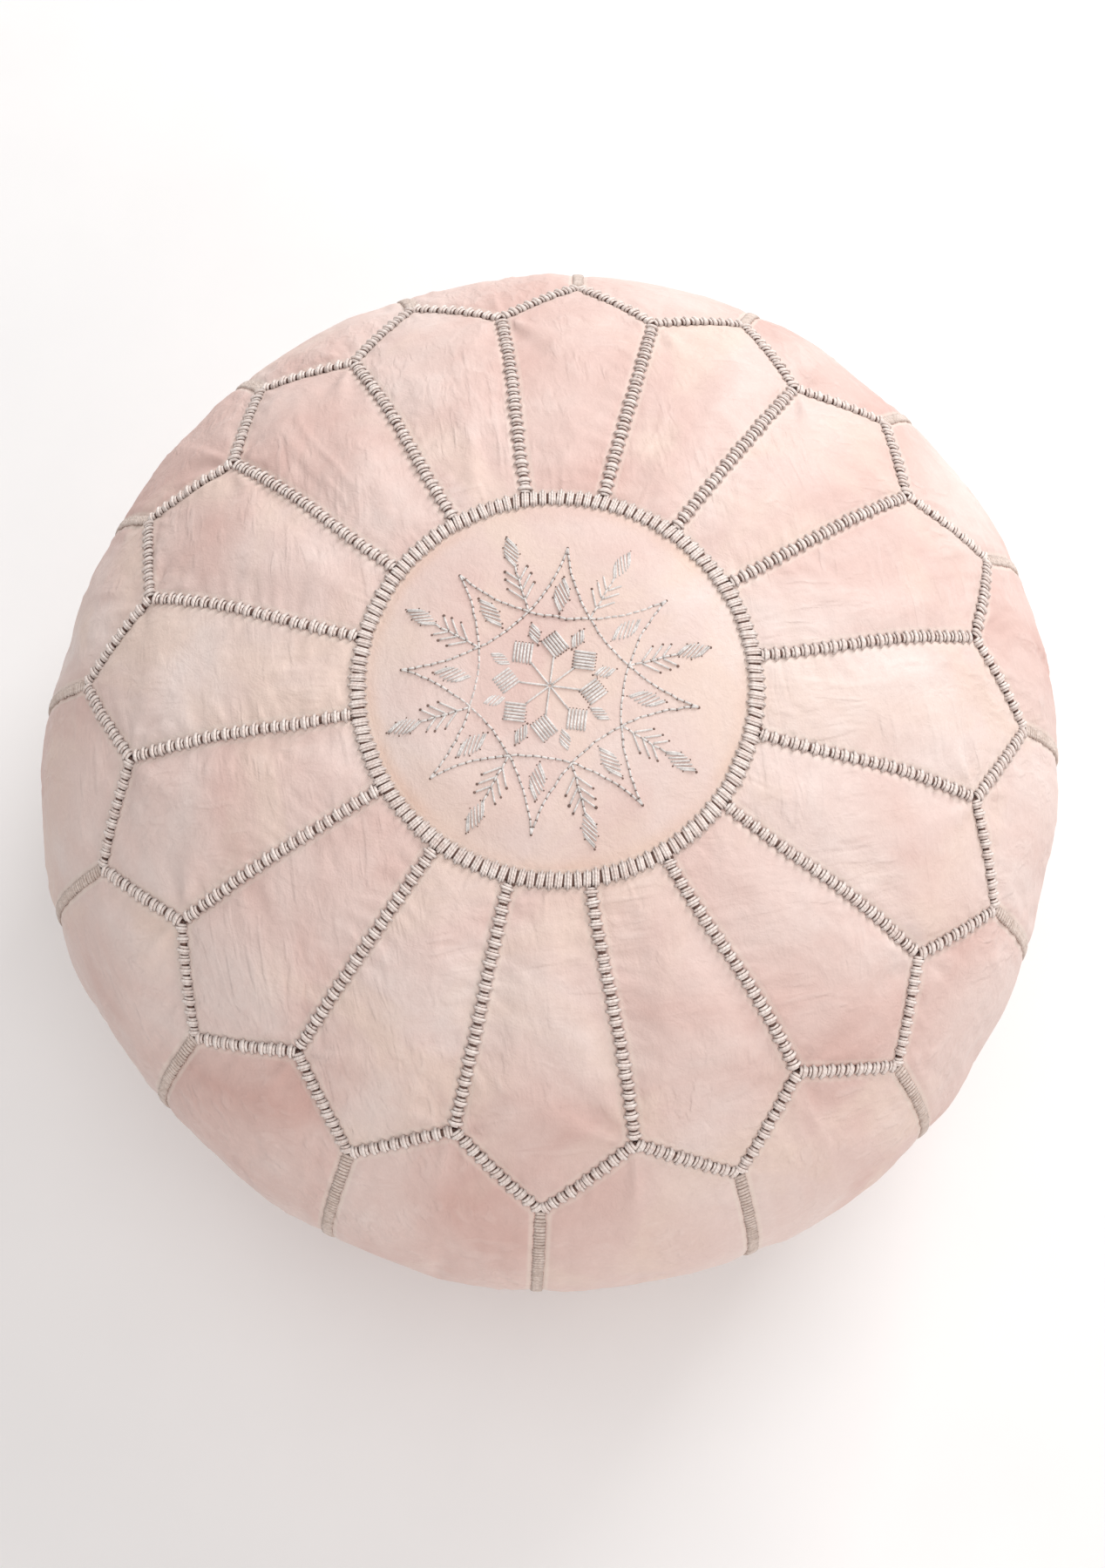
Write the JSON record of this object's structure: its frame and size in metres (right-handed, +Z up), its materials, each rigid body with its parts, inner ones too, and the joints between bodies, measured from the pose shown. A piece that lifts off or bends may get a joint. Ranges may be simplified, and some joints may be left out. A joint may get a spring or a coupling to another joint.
{
  "type": "floor pouf",
  "caption": "Round stuffed leather floor pouf with an embroidered centre, petal-shaped top panels, whip-stitched seams and a zipped base.",
  "frame": {"origin": "centre of the footprint, on the floor", "axes": "+Z up through the middle of the medallion, +X along the zip towards its closed end"},
  "size_m": [0.512, 0.512, 0.2867],
  "materials": {
    "blush_leather": "soft matte blush-pink tanned leather",
    "base_leather": "matte blush-pink leather, plain base",
    "whip_thread": "thick ivory waxed thread",
    "side_thread": "fine grey-beige thread",
    "silver_thread": "silver-grey rayon embroidery thread",
    "zip_tape": "woven polyester tape",
    "zip_teeth": "nickel-washed brass",
    "zip_metal": "satin nickel-plated",
    "liner_cotton": "plain-weave cotton",
    "wadding": "loose fibre wadding"
  },
  "bodies": {
    "root": {"medallion": "blush_leather", "top_petal_01": "blush_leather", "top_petal_02": "blush_leather", "top_petal_03": "blush_leather", "top_petal_04": "blush_leather", "top_petal_05": "blush_leather", "top_petal_06": "blush_leather", "top_petal_07": "blush_leather", "top_petal_08": "blush_leather", "top_petal_09": "blush_leather", "top_petal_10": "blush_leather", "top_petal_11": "blush_leather", "top_petal_12": "blush_leather", "top_petal_13": "blush_leather", "top_petal_14": "blush_leather", "top_petal_15": "blush_leather", "top_petal_16": "blush_leather", "side_panel_01": "blush_leather", "side_panel_02": "blush_leather", "side_panel_03": "blush_leather", "side_panel_04": "blush_leather", "side_panel_05": "blush_leather", "side_panel_06": "blush_leather", "side_panel_07": "blush_leather", "side_panel_08": "blush_leather", "side_panel_09": "blush_leather", "side_panel_10": "blush_leather", "side_panel_11": "blush_leather", "side_panel_12": "blush_leather", "side_panel_13": "blush_leather", "side_panel_14": "blush_leather", "side_panel_15": "blush_leather", "side_panel_16": "blush_leather", "base_half_front": "base_leather", "base_half_back": "base_leather", "medallion_seam": "whip_thread", "spoke_seams": "whip_thread", "zigzag_seam": "whip_thread", "base_seam": "whip_thread", "side_seams": "side_thread", "medallion_embroidery": "silver_thread", "zip_tape_front": "zip_tape", "zip_tape_back": "zip_tape", "zip_teeth_front": "zip_teeth", "zip_teeth_back": "zip_teeth", "zip_top_stops": "zip_metal", "zip_bottom_stop": "zip_metal", "liner_top": "liner_cotton", "liner_bottom": "liner_cotton", "filling": "wadding"},
    "slider": {"zip_slider": "zip_metal"},
    "pull": {"zip_pull": "zip_metal"}
  },
  "joints": [
    {"name": "zip_slide", "type": "slide", "parent": "root", "child": "slider", "axis": [-1, 0, 0], "range_m": [0, 0.288], "deforming": ["zip_teeth_front", "zip_teeth_back"]},
    {"name": "pull_tab_hinge", "type": "hinge", "parent": "slider", "child": "pull", "pos_m": [0.1445, 0, 0.0034], "axis": [0, -1, 0], "range_deg": [0, 170]}
  ]
}
